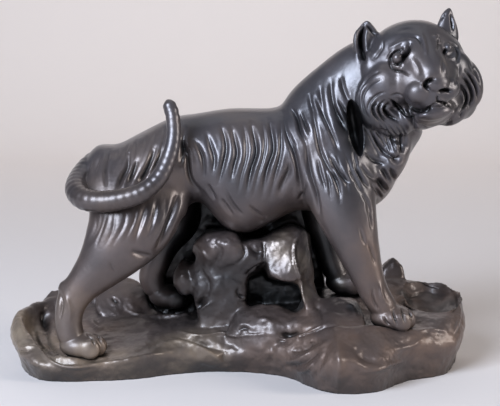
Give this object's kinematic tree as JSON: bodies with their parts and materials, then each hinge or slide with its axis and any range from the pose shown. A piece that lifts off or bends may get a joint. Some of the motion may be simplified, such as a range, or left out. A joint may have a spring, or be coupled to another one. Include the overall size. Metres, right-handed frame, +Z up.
{
  "type": "tiger figurine",
  "caption": "Cast bronze figurine of a tiger that stands on a rough rock with its head turned to one side and its tail curled round its haunch.",
  "frame": {"origin": "middle of the figurine's footprint, on the surface that it stands on", "axes": "+X from the tiger's tail to its chest, -Y the side that its head looks to, +Z up"},
  "size_m": [0.3, 0.1358, 0.2338],
  "materials": {
    "bronze": "dark brown patina, worn to brass colour on the edges"
  },
  "bodies": {
    "root": {"tiger_on_rock": "bronze"}
  },
  "joints": []
}
